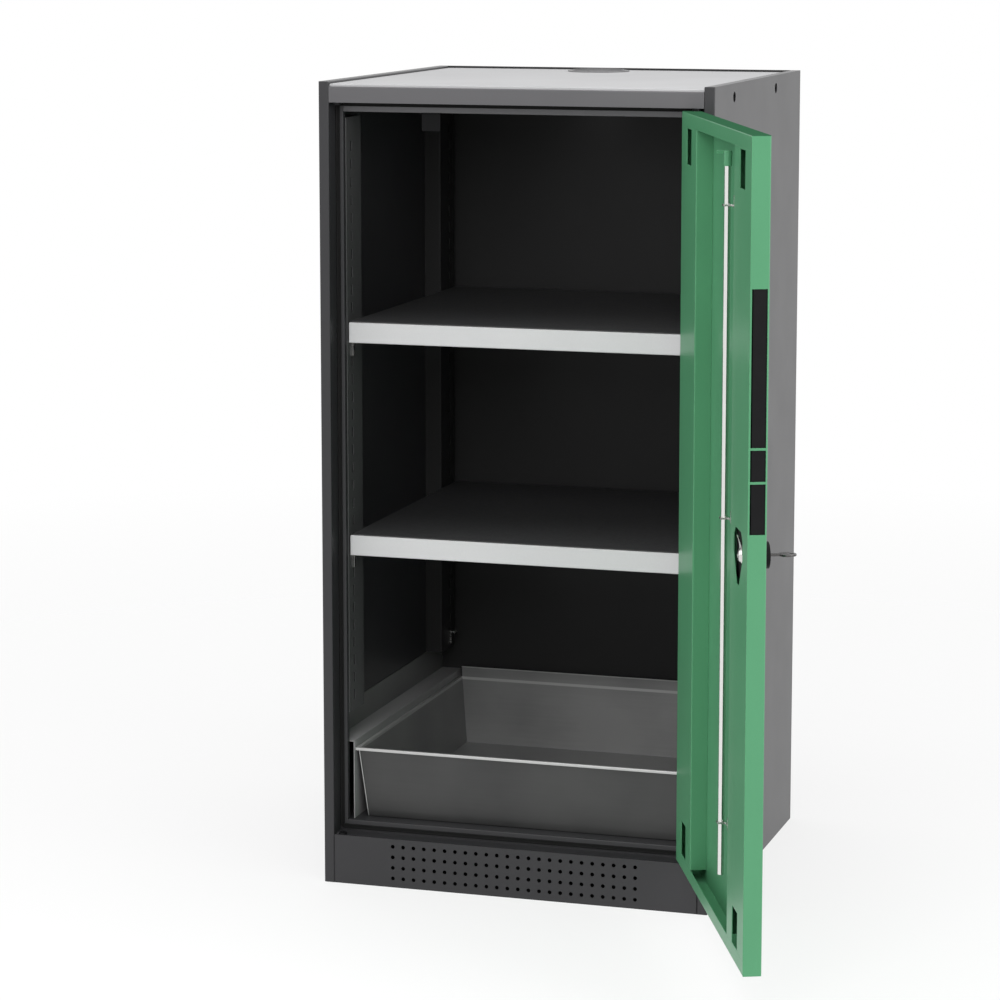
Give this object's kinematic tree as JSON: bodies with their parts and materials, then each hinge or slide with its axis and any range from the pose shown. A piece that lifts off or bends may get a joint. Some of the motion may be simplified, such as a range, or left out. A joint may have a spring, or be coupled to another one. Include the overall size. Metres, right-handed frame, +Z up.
{
  "type": "chemical storage cabinet",
  "caption": "Floor-standing sheet-steel storage cabinet for chemicals with one lockable hinged door, adjustable shelves, a sump tray and an exhaust spigot.",
  "frame": {"origin": "centre of the carcass footprint, on the floor", "axes": "-Y is the front that the door closes, +X is the hinge side, +Z is up"},
  "size_m": [0.7432, 0.9833, 1.105],
  "materials": {
    "anthracite_paint": "satin powder coat",
    "green_paint": "satin powder coat",
    "light_grey_paint": "satin powder coat",
    "galvanised_sheet": "matt zinc",
    "black_plastic": "fine grain",
    "seal_rubber": "matt",
    "zinc_plate": "bright zinc",
    "nickel_plate": "polished nickel",
    "polished_steel": "drawn and polished"
  },
  "bodies": {
    "carcass": {"left_side_panel": "anthracite_paint", "right_side_panel": "anthracite_paint", "rear_panel": "anthracite_paint", "top_panel": "light_grey_paint", "exhaust_collar": "light_grey_paint", "header_rail": "anthracite_paint", "floor_panel": "anthracite_paint", "plinth_panel": "anthracite_paint", "rear_base_rail": "anthracite_paint", "base_stringer": "anthracite_paint", "left_floor_bearer": "anthracite_paint", "right_floor_bearer": "anthracite_paint", "front_left_upright": "anthracite_paint", "front_right_upright": "anthracite_paint", "rear_left_upright": "anthracite_paint", "rear_right_upright": "anthracite_paint", "left_tray_support": "anthracite_paint", "right_tray_support": "anthracite_paint", "left_splash_strip": "galvanised_sheet", "right_splash_strip": "galvanised_sheet", "upper_shelf": "light_grey_paint", "lower_shelf": "light_grey_paint", "upper_shelf_mat": "seal_rubber", "lower_shelf_mat": "seal_rubber", "upper_shelf_clips": "zinc_plate", "lower_shelf_clips": "zinc_plate", "spare_shelf_clip": "zinc_plate", "sump_tray": "galvanised_sheet", "door_seal": "seal_rubber", "upper_hinge_bush": "black_plastic", "lower_hinge_bush": "black_plastic", "spare_hinge_bushes": "black_plastic", "rod_keeper": "anthracite_paint"},
    "door": {"door_panel": "green_paint", "hinge_side_stile": "green_paint", "lock_side_stile": "green_paint", "grip_shell": "black_plastic", "upper_hinge_pin": "zinc_plate", "lower_hinge_pin": "zinc_plate", "lock_rose": "black_plastic", "lock_barrel": "nickel_plate", "lock_nut": "zinc_plate", "lock_case": "black_plastic", "rod_brackets": "zinc_plate"},
    "lock": {"lock_plug": "nickel_plate", "lock_cam": "nickel_plate", "cam_screw": "zinc_plate"},
    "key": {"key": "nickel_plate"},
    "rod": {"locking_rod": "polished_steel", "rod_hook": "green_paint"}
  },
  "joints": [
    {"name": "door_swing", "type": "hinge", "parent": "carcass", "child": "door", "pos_m": [0.247, -0.2545, 0.5725], "axis": [0, 0, 1], "range_deg": [-113.2, 5]},
    {"name": "rod_turn", "type": "hinge", "parent": "door", "child": "rod", "pos_m": [0.36801, -0.58506, 0.6], "axis": [0, 0, 1], "range_deg": [0, 90]},
    {"name": "lock_turn", "type": "hinge", "parent": "door", "child": "lock", "pos_m": [0.43872, -0.65485, 0.572], "axis": [0.9191, 0.3939, 0], "range_deg": [0, 90]},
    {"name": "key_pull", "type": "slide", "parent": "lock", "child": "key", "axis": [0.9191, 0.3939, 0], "range_m": [0, 0.018]}
  ],
  "couplings": [
    {"joint": "lock_turn", "follows": "rod_turn", "ratio": 1}
  ]
}
